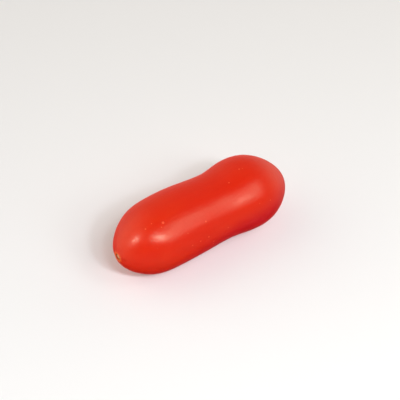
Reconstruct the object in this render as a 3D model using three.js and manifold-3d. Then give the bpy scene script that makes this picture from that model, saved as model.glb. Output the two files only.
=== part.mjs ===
// A ripe cherry tomato of the long, waisted mini-plum kind, picked without its calyx and lying on its side.
//
// Millimetres, +Z up. The long axis lies along X, from the stem end (-X) to the blossom end (+X). The origin
// is the middle of the underside of the bounding box, on the surface that the fruit rests on. The fruit grew
// as one piece, so it is one mesh: a lathed body, made slightly flat, lobed and bent, with a small flat under
// each of its bulges.
import * as THREE from 'three';
import { mergeVertices } from 'three/addons/utils/BufferGeometryUtils.js';
import Module from 'manifold-3d';

// Driving dimensions, in mm.
const LENGTH = 57.5; // from pole to pole
const BULGE_RADIUS = 11.2; // half the width of the two bulges
const HEIGHT_TO_WIDTH = 0.965; // the cross-section is a little flatter than it is wide

const STEM_ROUNDING = 9.8; // how far the stem end runs before it nears its full radius
const BLOSSOM_ROUNDING = 9; // the same at the blossom end
const SHOULDER_FULLNESS = 0.28; // higher values give squarer shoulders at both ends

const WAIST_FROM_STEM = 35; // where the waist is, from the stem's pole
const WAIST_SHARE = 0.082; // the share of the radius that the waist takes away
const WAIST_TO_STEM = 9.5; // how far the waist reaches towards the stem
const WAIST_TO_BLOSSOM = 5.5; // how far it reaches the other way, where it is steeper
const TAPER = 0.04; // how much fuller the blossom end is than the stem end, as a share of the radius

const LOBES = 3; // very low ridges along the fruit, over its seed chambers
const LOBE_SHARE = 0.008; // the ridges' height, as a share of the radius
const LOBE_TURN = 0.5; // where the first ridge runs, in radians round the axis from +Y
const BEND = 1; // how far both ends lean towards -Y
const WAIST_LEAN = 0.37; // how far the waist leans the same way

const SCAR_RADIUS = 1.05; // the round scar where the stalk came off
const SCAR_DEPTH = 0.35;
const SCAR_WALL = 6; // how steep the scar's wall is, as the power of its bell curve
const DIMPLE_RADIUS = 2.6; // the shallow dimple round the scar
const DIMPLE_DEPTH = 0.18;
const TIP_RADIUS = 0.65; // the small tip at the blossom end
const TIP_HEIGHT = 0.28;
const SOFT_WALL = 2; // the same power for a dimple or a tip with gentle sides

const FLAT_DEPTH = 0.2; // how much of each bulge its flat takes away

// Fineness of the mesh. Both ends take closer rings than the body does, for the scar and the tip.
const SIDES = 56;
const STEM_END = { share: 0.05, rings: 9 };
const BLOSSOM_END = { share: 0.035, rings: 6 };
const BODY_RINGS = 40;
const MERGE_DISTANCE = 1e-4;

const SKIN_COLOUR = 0xdf2f1a;
const SKIN_ROUGHNESS = 0.28;

// A bell curve: 1 in the middle, with the given reach and steepness.
const bell = (distance, reach, wall = SOFT_WALL) => Math.exp(-(Math.abs(distance / reach) ** wall));

// A rounded end: 0 at the pole, rising as a quarter ellipse does, to 1 beyond one rounding length.
function roundedEnd(distance) {
  return Math.sqrt(Math.tanh(distance + SHOULDER_FULLNESS * distance ** 3));
}

// The waist's depth at a distance along the axis from the stem's pole: 1 in its middle, 0 far to both sides.
function waistAt(along) {
  const reach = along < WAIST_FROM_STEM ? WAIST_TO_STEM : WAIST_TO_BLOSSOM;
  return bell(along - WAIST_FROM_STEM, reach);
}

// The body's radius at a distance along its axis from the stem's pole.
function bodyRadius(along) {
  const ends = roundedEnd(along / STEM_ROUNDING) * roundedEnd((LENGTH - along) / BLOSSOM_ROUNDING);
  const waist = 1 - WAIST_SHARE * waistAt(along);
  const taper = 1 + TAPER * (along / LENGTH - 0.5);
  return BULGE_RADIUS * ends * waist * taper;
}

// How deep the stem scar and the dimple round it lie, at a radius from the axis.
function stemPit(radius) {
  return SCAR_DEPTH * bell(radius, SCAR_RADIUS, SCAR_WALL) + DIMPLE_DEPTH * bell(radius, DIMPLE_RADIUS);
}

// How far the blossom end's tip stands out, at a radius from the axis.
function blossomTip(radius) {
  return TIP_HEIGHT * bell(radius, TIP_RADIUS);
}

// The places of the mesh's rings, as shares of a half turn from pole to pole.
function ringShares() {
  const stretches = [
    [0, STEM_END.share, STEM_END.rings],
    [STEM_END.share, 1 - BLOSSOM_END.share, BODY_RINGS],
    [1 - BLOSSOM_END.share, 1, BLOSSOM_END.rings],
  ];
  const evenly = ([from, to, rings]) => {
    const step = (to - from) / rings;
    return Array.from({ length: rings }, (_, i) => from + step * i);
  };
  return [...stretches.flatMap(evenly), 1];
}

// The half outline from the stem's pole to the blossom's, with the radius in X and the axis in Y.
function outline() {
  return ringShares().map((share) => {
    const along = (LENGTH * (1 - Math.cos(Math.PI * share))) / 2;
    const isPole = share === 0 || share === 1;
    const radius = isPole ? 0 : bodyRadius(along);
    const detail = along < LENGTH / 2 ? stemPit(radius) : blossomTip(radius);
    return new THREE.Vector2(radius, along + detail);
  });
}

// How far the body leans towards -Y at a distance along its axis from the stem's pole.
function leanAt(along) {
  return BEND * ((2 * along) / LENGTH - 1) ** 2 + WAIST_LEAN * waistAt(along);
}

// Turns the round body into the fruit: low lobes, a flatter cross-section and a slight bend.
function grow(position) {
  for (let i = 0; i < position.count; i++) {
    const along = position.getX(i);
    const radius = Math.hypot(position.getY(i), position.getZ(i));
    const turn = Math.atan2(position.getZ(i), position.getY(i));
    const lobed = radius * (1 + LOBE_SHARE * Math.cos(LOBES * (turn - LOBE_TURN)));
    position.setY(i, lobed * Math.cos(turn) - leanAt(along));
    position.setZ(i, HEIGHT_TO_WIDTH * lobed * Math.sin(turn));
  }
}

// The lowest of the points that isWanted picks.
function lowestPoint(position, isWanted) {
  const lowest = new THREE.Vector3(0, 0, Infinity);
  const point = new THREE.Vector3();
  for (let i = 0; i < position.count; i++) {
    point.fromBufferAttribute(position, i);
    if (isWanted(point) && point.z < lowest.z) {
      lowest.copy(point);
    }
  }
  return lowest;
}

// Tips the fruit until its two bulges are level, and lets both a little way through the plane z = 0.
function settle(geometry) {
  const position = geometry.getAttribute('position');
  const stemBulge = lowestPoint(position, (point) => point.x < WAIST_FROM_STEM);
  const blossomBulge = lowestPoint(position, (point) => point.x >= WAIST_FROM_STEM);
  const slope = Math.atan2(blossomBulge.z - stemBulge.z, blossomBulge.x - stemBulge.x);
  geometry.rotateY(slope);
  geometry.computeBoundingBox();
  geometry.translate(0, 0, -geometry.boundingBox.min.z - FLAT_DEPTH);
}

// The whole fruit before its flats are cut.
function roundFruit() {
  const fruit = new THREE.LatheGeometry(outline(), SIDES);
  fruit.rotateZ(-Math.PI / 2);
  grow(fruit.getAttribute('position'));
  settle(fruit);
  return fruit;
}

// A block that fills the space under z = 0, below the fruit.
function blockBelow() {
  const [length, width, height] = [1.2 * LENGTH, 3 * BULGE_RADIUS, BULGE_RADIUS];
  const block = new THREE.BoxGeometry(length, width, height);
  block.translate(LENGTH / 2, 0, -height / 2);
  return block;
}

const wasm = await Module();
wasm.setup();

// A closed geometry as a solid that can be cut.
function solidOf(geometry) {
  const bare = geometry.clone();
  bare.deleteAttribute('normal');
  bare.deleteAttribute('uv');
  const merged = mergeVertices(bare, MERGE_DISTANCE);
  const vertProperties = new Float32Array(merged.getAttribute('position').array);
  const triVerts = new Uint32Array(merged.index.array);
  return new wasm.Manifold(new wasm.Mesh({ numProp: 3, vertProperties, triVerts }));
}

// A solid as a geometry again.
function geometryOf(solid) {
  const { vertProperties, triVerts } = solid.getMesh();
  const geometry = new THREE.BufferGeometry();
  geometry.setAttribute('position', new THREE.BufferAttribute(vertProperties, 3));
  geometry.setIndex(new THREE.BufferAttribute(triVerts, 1));
  geometry.computeVertexNormals();
  return geometry;
}

// The one piece, with the middle of its underside at the origin.
function tomato() {
  const geometry = geometryOf(solidOf(roundFruit()).subtract(solidOf(blockBelow())));
  geometry.computeBoundingBox();
  const middle = geometry.boundingBox.getCenter(new THREE.Vector3());
  const skin = new THREE.MeshStandardMaterial({
    color: SKIN_COLOUR,
    roughness: SKIN_ROUGHNESS,
    metalness: 0,
  });
  const mesh = new THREE.Mesh(geometry, skin);
  mesh.name = 'tomato';
  mesh.position.set(-middle.x, -middle.y, 0);
  return mesh;
}

const part = new THREE.Group();
part.add(tomato());

export default part;
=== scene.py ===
"""The looks of a ripe, waisted cherry tomato of the mini-plum kind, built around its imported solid.

The fruit lies on its side with its long axis along X, from the stem end (-X) to the blossom end (+X). It
grew as one piece, so it is one closed mesh with one finish: thin waxed skin over red flesh, with a few gold
flecks, which turns to cork at the stem scar and to a dry brown point at the blossom end. Sizes in the classes
are in millimetres and angles in degrees, unless a name or a docstring says otherwise. Meshes and node trees
are in metres.
"""

import logging
import math
from dataclasses import dataclass, field
from enum import Enum

import bmesh
import bpy
import numpy as np
from mathutils import Matrix, Quaternion, Vector, noise


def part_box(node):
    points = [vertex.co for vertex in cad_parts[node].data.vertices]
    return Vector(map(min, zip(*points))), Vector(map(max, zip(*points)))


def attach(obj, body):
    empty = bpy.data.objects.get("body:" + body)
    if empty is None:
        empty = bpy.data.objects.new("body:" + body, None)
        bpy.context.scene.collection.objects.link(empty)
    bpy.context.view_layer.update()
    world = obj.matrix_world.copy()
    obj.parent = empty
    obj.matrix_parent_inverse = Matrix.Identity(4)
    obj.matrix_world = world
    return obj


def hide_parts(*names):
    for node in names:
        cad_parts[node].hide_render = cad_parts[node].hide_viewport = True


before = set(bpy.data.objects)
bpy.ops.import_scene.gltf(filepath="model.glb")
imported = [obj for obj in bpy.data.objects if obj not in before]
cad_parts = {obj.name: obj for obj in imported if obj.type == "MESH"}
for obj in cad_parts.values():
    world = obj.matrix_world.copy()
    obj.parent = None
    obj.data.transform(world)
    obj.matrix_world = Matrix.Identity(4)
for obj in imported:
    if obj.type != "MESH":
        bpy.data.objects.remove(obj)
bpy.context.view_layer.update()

LOG = logging.getLogger("tomato")
NODE = "tomato"
MM = 0.001

# How many finer layers of noise a soft or a fine pattern has, and the value that all noise lies around.
SOFT_DETAIL = 2.0
FINE_DETAIL = 3.0
NOISE_MIDDLE = 0.5

# The tones of the light. The red one is what other ripe fruit would give back.
WHITE = "#ffffff"
COOL_WHITE = "#eef5ff"
WARM_WHITE = "#fff6e6"
FRUIT_RED = "#ff2a12"

Colour = tuple[float, float, float, float]
Span = tuple[float, float]
Socket = bpy.types.NodeSocket


class End(Enum):
    """The two ends of the fruit, by their sides of the box."""

    STEM = -1
    BLOSSOM = 1


def new_material(name: str) -> bpy.types.Material:
    """Makes a material that uses nodes.

    Args:
        name: The real thing that it is.

    Returns:
        The new material.
    """
    material = bpy.data.materials.new(name)
    material.use_nodes = True
    return material


def linear(hex_colour: str) -> Colour:
    """Turns an sRGB colour into the linear one that shaders take.

    Args:
        hex_colour: The colour as "#rrggbb".

    Returns:
        Linear red, green and blue, and an alpha of 1.
    """
    channels = (int(hex_colour[i : i + 2], 16) / 255 for i in (1, 3, 5))
    parts = [c / 12.92 if c <= 0.04045 else ((c + 0.055) / 1.055) ** 2.4 for c in channels]
    return (*parts, 1.0)


def per_metre(size_mm: float) -> float:
    """The pattern scale, in repeats per metre, that makes one repeat size_mm long."""
    return 1 / (size_mm * MM)


def bell(distance: np.ndarray, reach: float, wall: float = 2.0) -> np.ndarray:
    """A bell curve.

    Args:
        distance: How far from the middle, in the same unit as reach.
        reach: Where the curve has fallen to about a third.
        wall: How steep its sides are: 2 is gentle, 6 is nearly a step.

    Returns:
        1 in the middle, falling to 0.
    """
    return np.exp(-(np.abs(distance / reach) ** wall))


@dataclass(frozen=True)
class Notch:
    """One wave of the scar's ragged edge, by how many go round, its share of the whole and its phase."""

    count: int
    share: float
    phase: float


@dataclass
class StemScar:
    """The scar where the stalk came off: a ragged corky pit with a low core, in a fluted dimple."""

    radius: float = 1.05
    depth: float = 0.35
    wall: float = 6.0
    raggedness: float = 0.07
    notches: tuple[Notch, ...] = (Notch(3, 1.0, 0.4), Notch(7, 0.6, 2.0))
    core_radius: float = 0.45
    core_height: float = 0.22
    rim_height: float = 0.08
    rim_width: float = 0.22
    dimple_radius: float = 2.6
    dimple_depth: float = 0.18
    flutes: int = 5
    flute_depth: float = 0.06
    flute_radius: float = 2.4
    flute_width: float = 1.1

    def depth_at(self, radius: np.ndarray, turn: np.ndarray) -> np.ndarray:
        """How far the surface is pushed in along the axis.

        Args:
            radius: Distance from the fruit's axis.
            turn: Angle round the axis, in radians.

        Returns:
            The depth at each point.
        """
        waves = sum(notch.share * np.sin(notch.count * turn + notch.phase) for notch in self.notches)
        edge = self.radius * (1 + self.raggedness * waves)
        pit = self.depth * bell(radius / edge, 1.0, self.wall)
        core = self.core_height * bell(radius, self.core_radius)
        rim = self.rim_height * bell(radius - edge - 0.5 * self.rim_width, self.rim_width)
        near_flutes = bell(radius - self.flute_radius, self.flute_width)
        flute = self.flute_depth * np.cos(self.flutes * turn) * near_flutes
        return pit - core - rim - flute + self.dimple_depth * bell(radius, self.dimple_radius)


@dataclass
class BlossomTip:
    """The small dry point that the flower's style left."""

    radius: float = 0.65
    height: float = 0.28

    def height_at(self, radius: np.ndarray) -> np.ndarray:
        """How far the surface stands out along the axis, at each distance from the axis."""
        return self.height * bell(radius, self.radius)


@dataclass
class Fruit:
    """The whole fruit: one closed skin, in the box that its solid takes up."""

    low: Vector
    high: Vector
    stem_rounding: float = 9.8
    blossom_rounding: float = 9.0
    shoulder_fullness: float = 0.28
    waist_from_stem: float = 35.0
    waist_share: float = 0.082
    waist_to_stem: float = 9.5
    waist_to_blossom: float = 5.5
    taper: float = 0.04
    lobes: int = 3
    lobe_share: float = 0.008
    lobe_turn: float = 28.6
    bend: float = 1.0
    waist_lean: float = 0.37
    flat_depth: float = 0.2
    flat_softness: float = 0.08
    swell_length: float = 11.0
    swell_height: float = 0.05
    ripple_length: float = 3.2
    ripple_height: float = 0.006
    sides: int = 216
    stem_rings: int = 40
    body_rings: int = 250
    blossom_rings: int = 26
    stem_share: float = 0.05
    blossom_share: float = 0.035
    scar: StemScar = field(default_factory=StemScar)
    tip: BlossomTip = field(default_factory=BlossomTip)
    along: np.ndarray = field(init=False)
    turn: np.ndarray = field(init=False)
    points: np.ndarray = field(init=False)

    def __post_init__(self) -> None:
        """Works out where every vertex is: the stem's pole, each ring in turn, the blossom's pole."""
        rings = self.ring_places()
        turns = np.linspace(0, 2 * math.pi, self.sides, endpoint=False)
        self.along = np.concatenate([[0.0], np.repeat(rings, self.sides), [self.length]])
        self.turn = np.concatenate([[0.0], np.tile(turns, len(rings)), [0.0]])
        self.points = self.set_down(self.skin_points(self.along, self.turn))

    @property
    def length(self) -> float:
        """The fruit's length."""
        return (self.high.x - self.low.x) / MM

    @property
    def bulge_radius(self) -> float:
        """Half the fruit's width."""
        return (self.high.y - self.low.y) / (2 * MM)

    @property
    def height(self) -> float:
        """The fruit's height."""
        return (self.high.z - self.low.z) / MM

    def rounded_end(self, distance: np.ndarray) -> np.ndarray:
        """A rounded end's share of the full radius.

        Args:
            distance: Distance from the pole, in rounding lengths.

        Returns:
            0 at the pole, rising as a quarter ellipse does, to 1.
        """
        return np.sqrt(np.tanh(distance + self.shoulder_fullness * distance**3))

    def waist_at(self, along: np.ndarray) -> np.ndarray:
        """The waist's depth at distances from the stem's pole: 1 in its middle, 0 far to both sides."""
        spread = np.where(along < self.waist_from_stem, self.waist_to_stem, self.waist_to_blossom)
        return bell((along - self.waist_from_stem) / spread, 1.0)

    def body_radius(self, along: np.ndarray) -> np.ndarray:
        """The fruit's radius along its axis.

        Args:
            along: Distances from the stem's pole.

        Returns:
            The radius at each distance.
        """
        stem_end = self.rounded_end(along / self.stem_rounding)
        blossom_end = self.rounded_end(np.clip(self.length - along, 0, None) / self.blossom_rounding)
        waist = 1 - self.waist_share * self.waist_at(along)
        taper = 1 + self.taper * (along / self.length - 0.5)
        return self.bulge_radius * (stem_end * blossom_end) * waist * taper

    def ring_places(self) -> np.ndarray:
        """Where the rings lie, close together at both ends.

        Returns:
            Their distances along the axis from the stem's pole, without the poles.
        """
        stem = np.linspace(0, self.stem_share, self.stem_rings, endpoint=False)[1:]
        body = np.linspace(self.stem_share, 1 - self.blossom_share, self.body_rings, endpoint=False)
        blossom = np.linspace(1 - self.blossom_share, 1, self.blossom_rings, endpoint=False)
        shares = np.concatenate([stem, body, blossom])
        return self.length * (1 - np.cos(math.pi * shares)) / 2

    def unevenness(self, points: np.ndarray) -> np.ndarray:
        """The gentle natural unevenness of the skin.

        Args:
            points: Places on the skin, one row each.

        Returns:
            How far each place stands out.
        """
        heights = np.empty(len(points))
        for i, point in enumerate(points):
            place = Vector(point)
            swell = self.swell_height * noise.noise(place / self.swell_length)
            ripple = self.ripple_height * noise.noise(place / self.ripple_length)
            heights[i] = swell + ripple
        return heights

    def skin_points(self, along: np.ndarray, turn: np.ndarray) -> np.ndarray:
        """Places on the skin, before the fruit is set down.

        Args:
            along: Distances along the axis from the stem's pole.
            turn: Angles round the axis from +Y, in radians, one for each distance.

        Returns:
            One row of X, Y and Z for each place, with the axis on Z = 0.
        """
        radius = self.body_radius(along)
        near_stem = along < self.length / 2
        detail = np.where(near_stem, self.scar.depth_at(radius, turn), self.tip.height_at(radius))
        lobed = radius * (1 + self.lobe_share * np.cos(self.lobes * (turn - math.radians(self.lobe_turn))))
        lean = self.bend * (2 * along / self.length - 1) ** 2 + self.waist_lean * self.waist_at(along)
        flattened = self.height / (2 * self.bulge_radius)
        around = np.stack([np.zeros_like(turn), np.cos(turn), np.sin(turn)], axis=1)
        across, upward = lobed * np.cos(turn) - lean, flattened * lobed * np.sin(turn)
        plain = np.stack([along + detail, across, upward], axis=1)
        near_axis = np.clip(radius / self.scar.dimple_radius, 0, 1)
        return plain + around * (self.unevenness(plain) * near_axis)[:, None]

    def set_down(self, points: np.ndarray) -> np.ndarray:
        """Levels the two bulges, fits the fruit in its box and presses its two flats on the surface.

        Args:
            points: Places on the skin as skin_points gives them.

        Returns:
            The places in the row frame, in metres.
        """
        stem_side = points[points[:, 0] < self.waist_from_stem]
        blossom_side = points[points[:, 0] >= self.waist_from_stem]
        lowest = [side[side[:, 2].argmin()] for side in (stem_side, blossom_side)]
        slope = math.atan2(lowest[1][2] - lowest[0][2], lowest[1][0] - lowest[0][0])
        level = points @ np.array(Matrix.Rotation(slope, 3, "Y")).T
        low, high = level.min(axis=0), level.max(axis=0)
        box_low = np.array(self.low) / MM - np.array([0, 0, self.flat_depth])
        box_high = np.array(self.high) / MM
        fitted = box_low + (level - low) / (high - low) * (box_high - box_low)
        fitted[:, 2] = self.pressed(fitted[:, 2])
        return fitted * MM

    def pressed(self, height: np.ndarray) -> np.ndarray:
        """Presses flat what lies below the surface that the fruit rests on, with a soft edge round it.

        Args:
            height: Heights above that surface, some of them below 0.

        Returns:
            The heights after pressing, none of them below 0.
        """
        soft = self.flat_softness
        edge = (np.clip(height, -soft, soft) + soft) ** 2 / (4 * soft)
        return np.where(height > soft, height, edge)

    def pole(self, end: End) -> Vector:
        """The middle of one end, on the skin, in metres."""
        return Vector(self.points[0] if end is End.STEM else self.points[-1])

    def place_on_skin(self, along: float, turn: float) -> Vector:
        """Finds the vertex nearest to a place on the skin.

        Args:
            along: The place's distance from the stem's pole.
            turn: Its turn round the axis from +Y.

        Returns:
            The vertex's place, in metres.
        """
        angle = np.abs((self.turn - math.radians(turn) + math.pi) % (2 * math.pi) - math.pi)
        distance = np.hypot(self.along - along, self.bulge_radius * angle)
        return Vector(self.points[distance.argmin()])

    def build(self) -> bpy.types.Object:
        """Builds the skin as one closed mesh.

        Returns:
            The fruit's object.
        """
        mesh = bmesh.new()
        pole, *middle, far_pole = [mesh.verts.new(point) for point in self.points]
        rings = [middle[i : i + self.sides] for i in range(0, len(middle), self.sides)]
        for i in range(self.sides):
            j = (i + 1) % self.sides
            mesh.faces.new((pole, rings[0][j], rings[0][i]))
            mesh.faces.new((far_pole, rings[-1][i], rings[-1][j]))
            for near, far in zip(rings, rings[1:]):
                mesh.faces.new((near[i], near[j], far[j], far[i]))
        bmesh.ops.recalc_face_normals(mesh, faces=mesh.faces)
        for face in mesh.faces:
            face.smooth = True
        data = bpy.data.meshes.new("ripe_tomato")
        mesh.to_mesh(data)
        mesh.free()
        fruit = bpy.data.objects.new("ripe_tomato", data)
        bpy.context.scene.collection.objects.link(fruit)
        return fruit


@dataclass(frozen=True)
class WaxedSkin:
    """A ripe tomato's skin: a thin clear skin with its own natural wax, grown tight over soft red flesh.

    The light goes some way into the flesh and comes out redder and evener. The yellowish wax gives a soft
    but clear shine. Low on its sides, more so towards the blossom end, the skin is painted a deeper crimson:
    this is painted shade, where less light falls, not the fruit's own colour. Real skin cells are well under
    0.1 mm across, too fine to show, so they are drawn as a coarser, very low relief, which breaks up the
    edges of the highlights a little. Each pair of edges says where in its noise one colour or roughness
    turns into the other.
    """

    red: str = "#dc2005"
    orange: str = "#de2807"
    crimson: str = "#cf120a"
    # Painted shade: a darker crimson laid low on the sides, towards the blossom end, where less light falls.
    painted_shade: str = "#cc0c1a"
    painted_shade_strength: float = 0.95
    painted_shade_heights: Span = (6.0, 13.0)
    painted_shade_slope: float = 0.2
    patch_mm: float = 13.0
    patch_stretch: float = 1.6
    patch_edges: Span = (0.35, 0.68)
    strand_mm: float = 1.3
    strand_length_mm: float = 12.0
    strand_edges: Span = (0.3, 0.75)
    strand_strength: float = 0.16
    roughness: float = 0.31
    roughness_change: float = 0.02
    wear_mm: float = 6.5
    wear_edges: Span = (0.3, 0.7)
    ior: float = 1.5
    shine: float = 0.5
    shine_colour: str = "#fffad6"
    depth_mm: float = 1.6
    depth_colour: tuple[float, float, float] = (1.0, 0.22, 0.08)
    depth_weight: float = 0.35
    cell_mm: float = 0.9
    cell_height_mm: float = 0.045


@dataclass(frozen=True)
class Fleck:
    """One gold fleck: its distance from the stem's pole, its turn round the axis from +Y, its radius."""

    along: float
    turn: float
    radius: float


@dataclass(frozen=True)
class GoldFlecks:
    """Gold flecks: tiny spots of pale crystals that grew under the skin, each in a slightly darker ring.

    They give the plain red its fine pale points. The single ones are the larger flecks, and the others are
    scattered one to a cell, of which only a share is kept. Edges are in a fleck's own radii.
    """

    gold: str = "#ff6a44"
    gold_strength: float = 0.7
    gold_edges: Span = (0.3, 1.4)
    ring: str = "#c02010"
    ring_strength: float = 0.2
    ring_edges: Span = (1.1, 2.1)
    spacing_mm: float = 3.4
    radius_mm: float = 0.2
    kept_share: float = 0.4
    out_of_reach: float = 9.0
    single: tuple[Fleck, ...] = (
        Fleck(13.5, 114.3, 0.42),
        Fleck(8.3, 108.2, 0.26),
        Fleck(12.4, 120.2, 0.2),
        Fleck(37.9, 103, 0.24),
        Fleck(43.0, 91, 0.24),
        Fleck(10.5, 106, 0.2),
        Fleck(25.6, 143.5, 0.28),
        Fleck(19.3, 170.2, 0.24),
        Fleck(22.2, 170.3, 0.26),
        Fleck(31.9, 172, 0.22),
        Fleck(25.0, 170.5, 0.3),
        Fleck(26.9, 185, 0.24),
        Fleck(26.7, 192, 0.22),
        Fleck(48.8, 62, 0.34),
        Fleck(6.4, 46, 0.26),
    )


@dataclass(frozen=True)
class Cork:
    """Dry cork, with which the plant closes the place where its stalk came off.

    It grew in as a rough scab, so it is matt and grainy, tan with a brown edge, in a straggling orange halo
    of thinner skin. The dry point at the blossom end is the same stuff, only browner. Real cork cells are a
    few hundredths of a millimetre across, too fine to show, so the grain is drawn coarser. The edges of the
    scar, its tan middle, its halo and the point are in radii of the scar or the point. The fibre's edges say
    where in its noise one colour turns into the other.
    """

    tan: str = "#dc9870"
    brown: str = "#ab4c24"
    point: str = "#7c3a1c"
    halo: str = "#f0682c"
    halo_strength: float = 0.9
    halo_edges: Span = (1.0, 2.1)
    halo_unevenness: float = 1.1
    halo_grain_mm: float = 0.9
    scar_edges: Span = (1.12, 1.24)
    scar_raggedness: float = 0.3
    tan_edges: Span = (0.55, 0.95)
    fibre_edges: Span = (0.4, 0.55)
    fibre_strength: float = 0.5
    point_edges: Span = (0.75, 1.05)
    point_raggedness: float = 0.5
    point_fibre_edges: Span = (0.45, 0.6)
    grain_mm: float = 0.22
    grain_height_mm: float = 0.03
    roughness: float = 0.85


class Wiring:
    """A node tree that is being wired."""

    def __init__(self, tree: bpy.types.NodeTree) -> None:
        """Takes a node tree and empties it."""
        self.tree = tree
        self.tree.nodes.clear()

    def add(
        self, kind: str, inputs: dict[str | int, object], output: str | int = 0, **settings: object
    ) -> Socket | None:
        """Adds a node with its settings and links.

        Args:
            kind: The node's type, such as "ShaderNodeMath".
            inputs: What goes into each input, by its name or number: an output to link, or a value.
            output: The output that is wanted, by its name or number.
            settings: The node's own settings.

        Returns:
            The wanted output, or None for a node that has no outputs.
        """
        node = self.tree.nodes.new(kind)
        for name, value in settings.items():
            setattr(node, name, value)
        for key, value in inputs.items():
            if isinstance(value, Socket):
                self.tree.links.new(value, node.inputs[key])
            else:
                node.inputs[key].default_value = value
        return node.outputs[output] if node.outputs else None


class TomatoFinish:
    """The fruit's one material: waxed skin over red flesh, gold flecks, and cork at both ends."""

    def __init__(self, skin: WaxedSkin, flecks: GoldFlecks, cork: Cork, fruit: Fruit) -> None:
        """Starts the material.

        Args:
            skin: The skin's finish.
            flecks: The gold flecks.
            cork: The finish of both ends.
            fruit: The fruit whose ends and flecks the finishes are placed by.
        """
        self.skin = skin
        self.flecks = flecks
        self.cork = cork
        self.fruit = fruit
        self.material = new_material("waxed_tomato_skin")
        self.wiring = Wiring(self.material.node_tree)
        self.place = self.wiring.add("ShaderNodeTexCoord", {}, "Object")

    def radii_from(self, point: Vector, radius: float) -> Socket:
        """How far the surface is from a point.

        Args:
            point: The point, in metres.
            radius: The length that is counted as 1, in millimetres.

        Returns:
            The distance, in radii.
        """
        sockets = {0: self.place, 1: tuple(point)}
        distance = self.wiring.add("ShaderNodeVectorMath", sockets, "Value", operation="DISTANCE")
        return self.wiring.add("ShaderNodeMath", {0: distance, 1: radius * MM}, operation="DIVIDE")

    def fading(self, value: Socket, edges: Span, strength: float = 1.0) -> Socket:
        """Falls smoothly from the strength to 0 as a value rises from the first edge to the second."""
        sockets = {0: value, 1: edges[0], 2: edges[1], 3: strength, 4: 0.0}
        return self.wiring.add("ShaderNodeMapRange", sockets, interpolation_type="SMOOTHSTEP")

    def grain(self, across_mm: float, along_mm: float, detail: float) -> Socket:
        """Noise whose grains have a size across the fruit and another along it.

        Args:
            across_mm: The size of a grain across the fruit.
            along_mm: Its size along the fruit.
            detail: How many finer layers of noise it has.

        Returns:
            The noise, around NOISE_MIDDLE.
        """
        scale = (per_metre(along_mm), per_metre(across_mm), per_metre(across_mm))
        place = self.wiring.add("ShaderNodeVectorMath", {0: self.place, 1: scale}, operation="MULTIPLY")
        return self.wiring.add("ShaderNodeTexNoise", {"Vector": place, "Scale": 1.0, "Detail": detail})

    def coat(self, under: Socket | Colour, paint: Socket | Colour, share: Socket) -> Socket:
        """A colour with another laid over it, as far as the share says."""
        return self.wiring.add("ShaderNodeMix", {0: share, 6: under, 7: paint}, 2, data_type="RGBA")

    def frayed(self, distance: Socket, noise_value: Socket, raggedness: float) -> Socket:
        """A distance that some noise makes uneven."""
        sockets = {0: noise_value, 1: raggedness, 2: distance}
        return self.wiring.add("ShaderNodeMath", sockets, operation="MULTIPLY_ADD")

    def flesh_colour(self) -> Socket:
        """The flesh through the skin, with soft warmer patches, faint strands and painted shade low on its
        sides.

        Returns:
            The colour.
        """
        skin = self.skin
        patches = self.grain(skin.patch_mm, skin.patch_mm * skin.patch_stretch, SOFT_DETAIL)
        strands = self.grain(skin.strand_mm, skin.strand_length_mm, FINE_DETAIL)
        warm = self.coat(linear(skin.orange), linear(skin.red), self.fading(patches, skin.patch_edges))
        strandedness = self.fading(strands, skin.strand_edges, skin.strand_strength)
        stranded = self.coat(warm, linear(skin.crimson), strandedness)
        # Painted shade: a darker crimson low on the sides, leaning towards the blossom end, where less light
        # falls.
        sockets = {0: self.place, 1: (-skin.painted_shade_slope, 0.0, 1.0)}
        height = self.wiring.add("ShaderNodeVectorMath", sockets, "Value", operation="DOT_PRODUCT")
        bottom, top = skin.painted_shade_heights
        low = self.fading(height, (bottom * MM, top * MM), skin.painted_shade_strength)
        return self.coat(stranded, linear(skin.painted_shade), low)

    def fleck_distance(self) -> Socket:
        """How far the surface is from the nearest gold fleck.

        Returns:
            The distance, in that fleck's radii.
        """
        flecks, add = self.flecks, self.wiring.add
        cells = {"Vector": self.place, "Scale": per_metre(flecks.spacing_mm)}
        distance = add("ShaderNodeTexVoronoi", cells, "Distance")
        cell_colour = add("ShaderNodeTexVoronoi", cells, "Color")
        chance = add("ShaderNodeSeparateColor", {0: cell_colour})
        is_left_out = add("ShaderNodeMath", {0: chance, 1: flecks.kept_share}, operation="GREATER_THAN")
        per_radius = flecks.spacing_mm / flecks.radius_mm
        scattered = add("ShaderNodeMath", {0: distance, 1: per_radius}, operation="MULTIPLY")
        sockets = {0: is_left_out, 1: flecks.out_of_reach, 2: scattered}
        nearest = add("ShaderNodeMath", sockets, operation="MULTIPLY_ADD")
        for fleck in flecks.single:
            radii = self.radii_from(self.fruit.place_on_skin(fleck.along, fleck.turn), fleck.radius)
            nearest = add("ShaderNodeMath", {0: nearest, 1: radii}, operation="MINIMUM")
        return nearest

    def flecked(self, flesh: Socket) -> Socket:
        """Lays the gold flecks and their rings on the flesh.

        Args:
            flesh: The flesh's colour.

        Returns:
            The colour with its flecks.
        """
        flecks = self.flecks
        distance = self.fleck_distance()
        ring = self.fading(distance, flecks.ring_edges, flecks.ring_strength)
        fleck = self.fading(distance, flecks.gold_edges, flecks.gold_strength)
        return self.coat(self.coat(flesh, linear(flecks.ring), ring), linear(flecks.gold), fleck)

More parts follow.
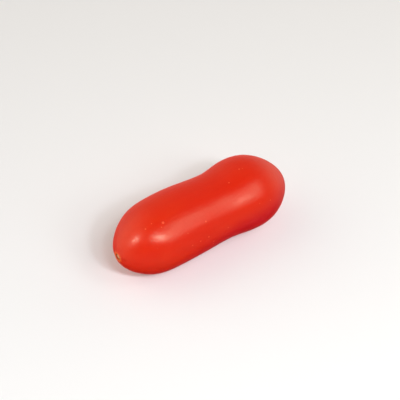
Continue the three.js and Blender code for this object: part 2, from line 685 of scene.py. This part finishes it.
    def haloed(self, skin_colour: Socket, from_scar: Socket) -> Socket:
        """Lays the orange halo round the scar on the skin, with a straggling edge.

        Args:
            skin_colour: The skin's colour.
            from_scar: The distance from the scar's middle, in its radii.

        Returns:
            The colour with the halo.
        """
        cork, add = self.cork, self.wiring.add
        patchy = self.grain(cork.halo_grain_mm, cork.halo_grain_mm, SOFT_DETAIL)
        uneven = add("ShaderNodeMath", {0: patchy, 1: NOISE_MIDDLE}, operation="SUBTRACT")
        straggling = self.frayed(from_scar, uneven, cork.halo_unevenness)
        halo = self.fading(straggling, cork.halo_edges, cork.halo_strength)
        return self.coat(skin_colour, linear(cork.halo), halo)

    def corky(self, ragged: Socket, fibre: Socket) -> Socket:
        """The cork's own colour, tan in the middle and brown at the edge.

        Args:
            ragged: The uneven distance from the scar's middle, in its radii.
            fibre: The cork's fine noise.

        Returns:
            The colour.
        """
        cork = self.cork
        brown = linear(cork.brown)
        mottled = self.coat(brown, linear(cork.tan), self.fading(ragged, cork.tan_edges))
        return self.coat(mottled, brown, self.fading(fibre, cork.fibre_edges, cork.fibre_strength))

    def gloss(self) -> Socket:
        """The wax's roughness, slightly uneven where the wax was rubbed.

        Returns:
            The roughness.
        """
        skin = self.skin
        wear = self.grain(skin.wear_mm, skin.wear_mm, SOFT_DETAIL)
        smoothest, roughest = skin.roughness - skin.roughness_change, skin.roughness + skin.roughness_change
        sockets = {0: wear, 1: skin.wear_edges[0], 2: skin.wear_edges[1], 3: smoothest, 4: roughest}
        return self.wiring.add("ShaderNodeMapRange", sockets)

    def relief(self, dry: Socket, fibre: Socket) -> Socket:
        """The low relief of the skin's cells and of the cork's grain.

        Args:
            dry: Where the surface is cork, from 0 to 1.
            fibre: The cork's fine noise.

        Returns:
            The surface's normal.
        """
        skin, cork, add = self.skin, self.cork, self.wiring.add
        cells = self.grain(skin.cell_mm, skin.cell_mm, SOFT_DETAIL)
        peel = add("ShaderNodeMath", {0: cells, 1: skin.cell_height_mm * MM}, operation="MULTIPLY")
        rough = add("ShaderNodeMath", {0: fibre, 1: cork.grain_height_mm * MM}, operation="MULTIPLY")
        height = add("ShaderNodeMix", {0: dry, 2: peel, 3: rough})
        return add("ShaderNodeBump", {"Height": height, "Distance": 1.0, "Strength": 1.0})

    def build(self) -> bpy.types.Material:
        """Wires the material.

        Returns:
            The finished material.
        """
        skin, cork, fruit, add = self.skin, self.cork, self.fruit, self.wiring.add
        fibre = self.grain(cork.grain_mm, cork.grain_mm, FINE_DETAIL)
        from_scar = self.radii_from(fruit.pole(End.STEM), fruit.scar.radius)
        from_tip = self.radii_from(fruit.pole(End.BLOSSOM), fruit.tip.radius)
        ragged = self.frayed(from_scar, fibre, cork.scar_raggedness)
        scar = self.fading(ragged, cork.scar_edges)
        tip = self.fading(self.frayed(from_tip, fibre, cork.point_raggedness), cork.point_edges)
        dry = add("ShaderNodeMath", {0: scar, 1: tip}, operation="MAXIMUM")

        skin_colour = self.haloed(self.flecked(self.flesh_colour()), from_scar)
        scarred = self.coat(skin_colour, self.corky(ragged, fibre), scar)
        browned = self.fading(fibre, cork.point_fibre_edges)
        colour = self.coat(scarred, self.coat(linear(cork.point), linear(cork.brown), browned), tip)
        shader = add(
            "ShaderNodeBsdfPrincipled",
            {
                "Base Color": colour,
                "Roughness": add("ShaderNodeMix", {0: dry, 2: self.gloss(), 3: cork.roughness}),
                "Normal": self.relief(dry, fibre),
                "IOR": skin.ior,
                "Specular IOR Level": skin.shine,
                "Specular Tint": linear(skin.shine_colour),
                "Subsurface Weight": skin.depth_weight,
                "Subsurface Radius": skin.depth_colour,
                "Subsurface Scale": skin.depth_mm * MM,
            },
        )
        add("ShaderNodeOutputMaterial", {"Surface": shader})
        return self.material


@dataclass(frozen=True)
class SoftBox:
    """A studio softbox that shines on the fruit.

    It hangs at an azimuth, an elevation and a roll. Its sizes and its distance are in metres and its power
    is in watts. Its tone is the colour of its light, and it can shine without casting a shadow.
    """

    name: str
    azimuth: float
    elevation: float
    roll: float
    distance: float
    width: float
    height: float
    power: float
    tone: str = WHITE
    casts_shadow: bool = True


@dataclass(frozen=True)
class Glow:
    """A soft glow of the room round one direction, as a strength of light, with its own tone."""

    azimuth: float
    elevation: float
    strength: float
    tone: str = WARM_WHITE


@dataclass(frozen=True)
class WhiteBoard:
    """Uncoated white board, pressed from paper fibre: quite matt, so it only gives soft light back."""

    white: str = "#f4f3f1"
    roughness: float = 1.0
    shine: float = 0.0


@dataclass
class Studio:
    """A plain pale floor, soft light and the camera."""

    azimuth: float = -34.9
    elevation: float = 45.0
    lens: float = 300.0
    sensor: float = 36.0
    frame_width: float = 115.5
    aim_right: float = 0.36
    aim_up: float = 4.06
    nearest: float = 10.0
    farthest: float = 50000.0
    board: WhiteBoard = WhiteBoard()
    floor_size: float = 6000.0
    floor_gap: float = 0.02
    horizon: float = 0.2
    fall: float = 2.0
    lights: tuple[SoftBox, ...] = (
        SoftBox("key_middle", -4, 46, 0, 0.60, 0.06, 0.06, 0.55, COOL_WHITE),
        SoftBox("key_low", 0, 44, 0, 0.60, 0.06, 0.06, 0.35, COOL_WHITE),
        SoftBox("key_high", -15, 51, -25, 0.60, 0.09, 0.06, 0.39, COOL_WHITE),
        SoftBox("key_left", -22, 54, -25, 0.60, 0.12, 0.08, 0.48, COOL_WHITE),
        SoftBox("key_right", 10, 36, -40, 0.60, 0.16, 0.10, 0.34),
        SoftBox("window_low", 22, 30, 0, 0.60, 0.26, 0.20, 0.31),
        SoftBox("window_middle", 34, 44, 0, 0.60, 0.16, 0.18, 0.15),
        SoftBox("window_high", 40, 53, 0, 0.60, 0.20, 0.20, 0.31),
        SoftBox("small_side", -92, 42, 0, 0.60, 0.03, 0.03, 0.85, COOL_WHITE, casts_shadow=False),
    )
    glow_spread: float = 4.0
    glows: tuple[Glow, ...] = (
        Glow(225, 15, 0.88),
        Glow(265, 10, 0.42),
        Glow(200, 45, 0.53),
        Glow(90, 10, 1.01),
        Glow(150, -25, 0.2),
        Glow(150, -25, 0.85, FRUIT_RED),
    )

    @staticmethod
    def towards(azimuth: float, elevation: float) -> Vector:
        """The direction at an azimuth, which is 0 at -Y and 90 at +X, and an elevation."""
        a, e = math.radians(azimuth), math.radians(elevation)
        return Vector((math.sin(a) * math.cos(e), -math.cos(a) * math.cos(e), math.sin(e)))

    def place_camera(self, middle: Vector) -> None:
        """Sets the camera up so that it looks down on the fruit.

        Args:
            middle: The middle of the fruit.
        """
        data = bpy.data.cameras.new("camera")
        data.lens = self.lens
        data.sensor_width = self.sensor
        data.clip_start = self.nearest * MM
        data.clip_end = self.farthest * MM
        camera = bpy.data.objects.new("camera", data)
        bpy.context.scene.collection.objects.link(camera)
        back = self.towards(self.azimuth, self.elevation)
        turn = back.to_track_quat("Z", "Y")
        offset = turn @ Vector((self.aim_right * MM, self.aim_up * MM, 0))
        distance = self.frame_width * MM * self.lens / self.sensor
        camera.location = middle + offset + back * distance
        camera.rotation_mode = "QUATERNION"
        camera.rotation_quaternion = turn
        bpy.context.scene.camera = camera

    def place_light(self, box: SoftBox, middle: Vector) -> None:
        """Hangs one softbox so that it faces the fruit.

        Args:
            box: The softbox.
            middle: The middle of the fruit.
        """
        data = bpy.data.lights.new(box.name, "AREA")
        data.shape = "RECTANGLE"
        data.size = box.width
        data.size_y = box.height
        data.energy = box.power
        data.color = linear(box.tone)[:3]
        data.use_shadow = box.casts_shadow
        light = bpy.data.objects.new(box.name, data)
        bpy.context.scene.collection.objects.link(light)
        back = self.towards(box.azimuth, box.elevation)
        roll = Quaternion((0, 0, 1), math.radians(box.roll))
        light.location = middle + back * box.distance
        light.rotation_mode = "QUATERNION"
        light.rotation_quaternion = back.to_track_quat("Z", "Y") @ roll
        light.visible_camera = False

    def lay_floor(self) -> bpy.types.Object:
        """Lays the matt floor that the fruit rests on. The wax takes its soft light but doesn't mirror it.

        Returns:
            The floor.
        """
        half = self.floor_size / 2
        mesh = bmesh.new()
        corners = [(-half, -half), (half, -half), (half, half), (-half, half)]
        mesh.faces.new([mesh.verts.new((x * MM, y * MM, -self.floor_gap * MM)) for x, y in corners])
        data = bpy.data.meshes.new("floor")
        mesh.to_mesh(data)
        mesh.free()
        floor = bpy.data.objects.new("floor", data)
        bpy.context.scene.collection.objects.link(floor)
        floor.visible_glossy = False
        material = new_material("matt_white_board")
        wiring, board = Wiring(material.node_tree), self.board
        inputs = {
            "Base Color": linear(board.white),
            "Roughness": board.roughness,
            "Specular IOR Level": board.shine,
        }
        shader = wiring.add("ShaderNodeBsdfPrincipled", inputs)
        wiring.add("ShaderNodeOutputMaterial", {"Surface": shader})
        data.materials.append(material)
        return floor

    def fill_with_light(self) -> None:
        """Gives the room its light, brighter at the horizon and in its glows, and plain colours."""
        world = bpy.data.worlds.new("white_room")
        world.use_nodes = True
        add = Wiring(world.node_tree).add
        direction = add("ShaderNodeTexCoord", {}, "Generated")
        height = add("ShaderNodeSeparateXYZ", {0: direction}, "Z")
        steepness = add("ShaderNodeMath", {0: height}, operation="ABSOLUTE")
        nearness = add("ShaderNodeMath", {0: 1.0, 1: steepness}, operation="SUBTRACT")
        ring = add("ShaderNodeMath", {0: nearness, 1: self.fall}, operation="POWER")
        strength = add("ShaderNodeMath", {0: ring, 1: self.horizon}, operation="MULTIPLY")
        light = add("ShaderNodeBackground", {"Color": linear(WARM_WHITE), "Strength": strength})
        for glow in self.glows:
            sockets = {0: direction, 1: tuple(self.towards(glow.azimuth, glow.elevation))}
            facing = add("ShaderNodeVectorMath", sockets, "Value", operation="DOT_PRODUCT")
            front = add("ShaderNodeMath", {0: facing, 1: 0.0}, operation="MAXIMUM")
            soft = add("ShaderNodeMath", {0: front, 1: self.glow_spread}, operation="POWER")
            strength = add("ShaderNodeMath", {0: soft, 1: glow.strength}, operation="MULTIPLY")
            shine = add("ShaderNodeBackground", {"Color": linear(glow.tone), "Strength": strength})
            light = add("ShaderNodeAddShader", {0: light, 1: shine})
        add("ShaderNodeOutputWorld", {"Surface": light})
        bpy.context.scene.world = world
        bpy.context.scene.view_settings.view_transform = "Standard"

    def build(self, middle: Vector) -> bpy.types.Object:
        """Builds the whole studio round the fruit.

        Args:
            middle: The middle of the fruit.

        Returns:
            The floor.
        """
        self.place_camera(middle)
        for box in self.lights:
            self.place_light(box, middle)
        self.fill_with_light()
        return self.lay_floor()


def main() -> None:
    """Builds the fruit and the studio, and reports each piece."""
    logging.basicConfig(level=logging.INFO, format="%(name)s: %(message)s")
    low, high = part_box(NODE)
    fruit = Fruit(low, high)
    piece = fruit.build()
    piece.data.materials.append(TomatoFinish(WaxedSkin(), GoldFlecks(), Cork(), fruit).build())
    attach(piece, "root")
    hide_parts(NODE)
    LOG.info("%s: %d faces", piece.name, len(piece.data.polygons))
    floor = Studio().build((low + high) / 2)
    LOG.info("%s: %.0f x %.0f mm", floor.name, floor.dimensions.x / MM, floor.dimensions.y / MM)


if __name__ == "__main__":
    main()
